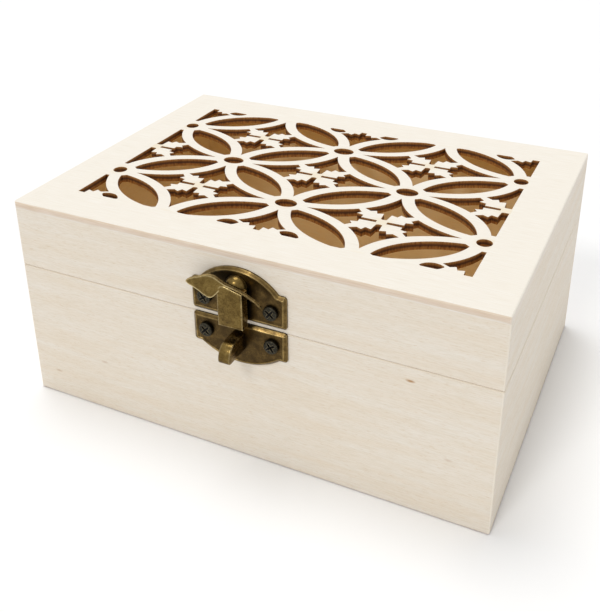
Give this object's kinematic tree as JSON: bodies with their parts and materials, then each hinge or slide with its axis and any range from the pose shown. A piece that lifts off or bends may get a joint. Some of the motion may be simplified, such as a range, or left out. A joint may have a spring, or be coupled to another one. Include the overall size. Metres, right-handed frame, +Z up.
{
  "type": "keepsake box",
  "caption": "Pale wooden keepsake box with a hinged lid pierced as a lattice of overlapping ovals and leaf crosses, a bronze turn latch in front and butt hinges behind.",
  "frame": {"origin": "middle of the flat underside, on which the box stands", "axes": "+X to the right as seen from the latch, along the longest side; +Y to the back, towards the hinges; +Z up"},
  "size_m": [0.22, 0.1792, 0.1],
  "materials": {
    "basswood": "sanded, unfinished",
    "plywood": "sanded, laser cut, unfinished",
    "antique_bronze": "antiqued, polished on the edges",
    "gunmetal": "blackened",
    "hinge_bronze": "antiqued"
  },
  "bodies": {
    "base": {"base_front_wall": "basswood", "base_back_wall": "basswood", "base_left_wall": "basswood", "base_right_wall": "basswood", "bottom_panel": "plywood", "latch_lower_plate": "antique_bronze", "latch_lower_screws": "gunmetal", "hinge_left_base_leaf": "hinge_bronze", "hinge_right_base_leaf": "hinge_bronze", "hinge_left_pin": "hinge_bronze", "hinge_right_pin": "hinge_bronze", "hinge_base_screws": "hinge_bronze"},
    "lid": {"lid_front_rail": "basswood", "lid_back_rail": "basswood", "lid_left_rail": "basswood", "lid_right_rail": "basswood", "lid_fretwork_panel": "plywood", "latch_upper_plate": "antique_bronze", "latch_upper_screws": "gunmetal", "hinge_left_lid_leaf": "hinge_bronze", "hinge_right_lid_leaf": "hinge_bronze", "hinge_lid_screws": "hinge_bronze"},
    "turn": {"latch_turn_piece": "antique_bronze", "latch_washer": "antique_bronze"}
  },
  "joints": [
    {"name": "lid_hinge", "type": "hinge", "parent": "base", "child": "lid", "pos_m": [0, 0.0825, 0.068], "axis": [-1, 0, 0], "range_deg": [0, 180]},
    {"name": "latch_turn", "type": "hinge", "parent": "lid", "child": "turn", "pos_m": [0.0026, -0.08, 0.086], "axis": [0, 1, 0], "range_deg": [0, 90]}
  ]
}
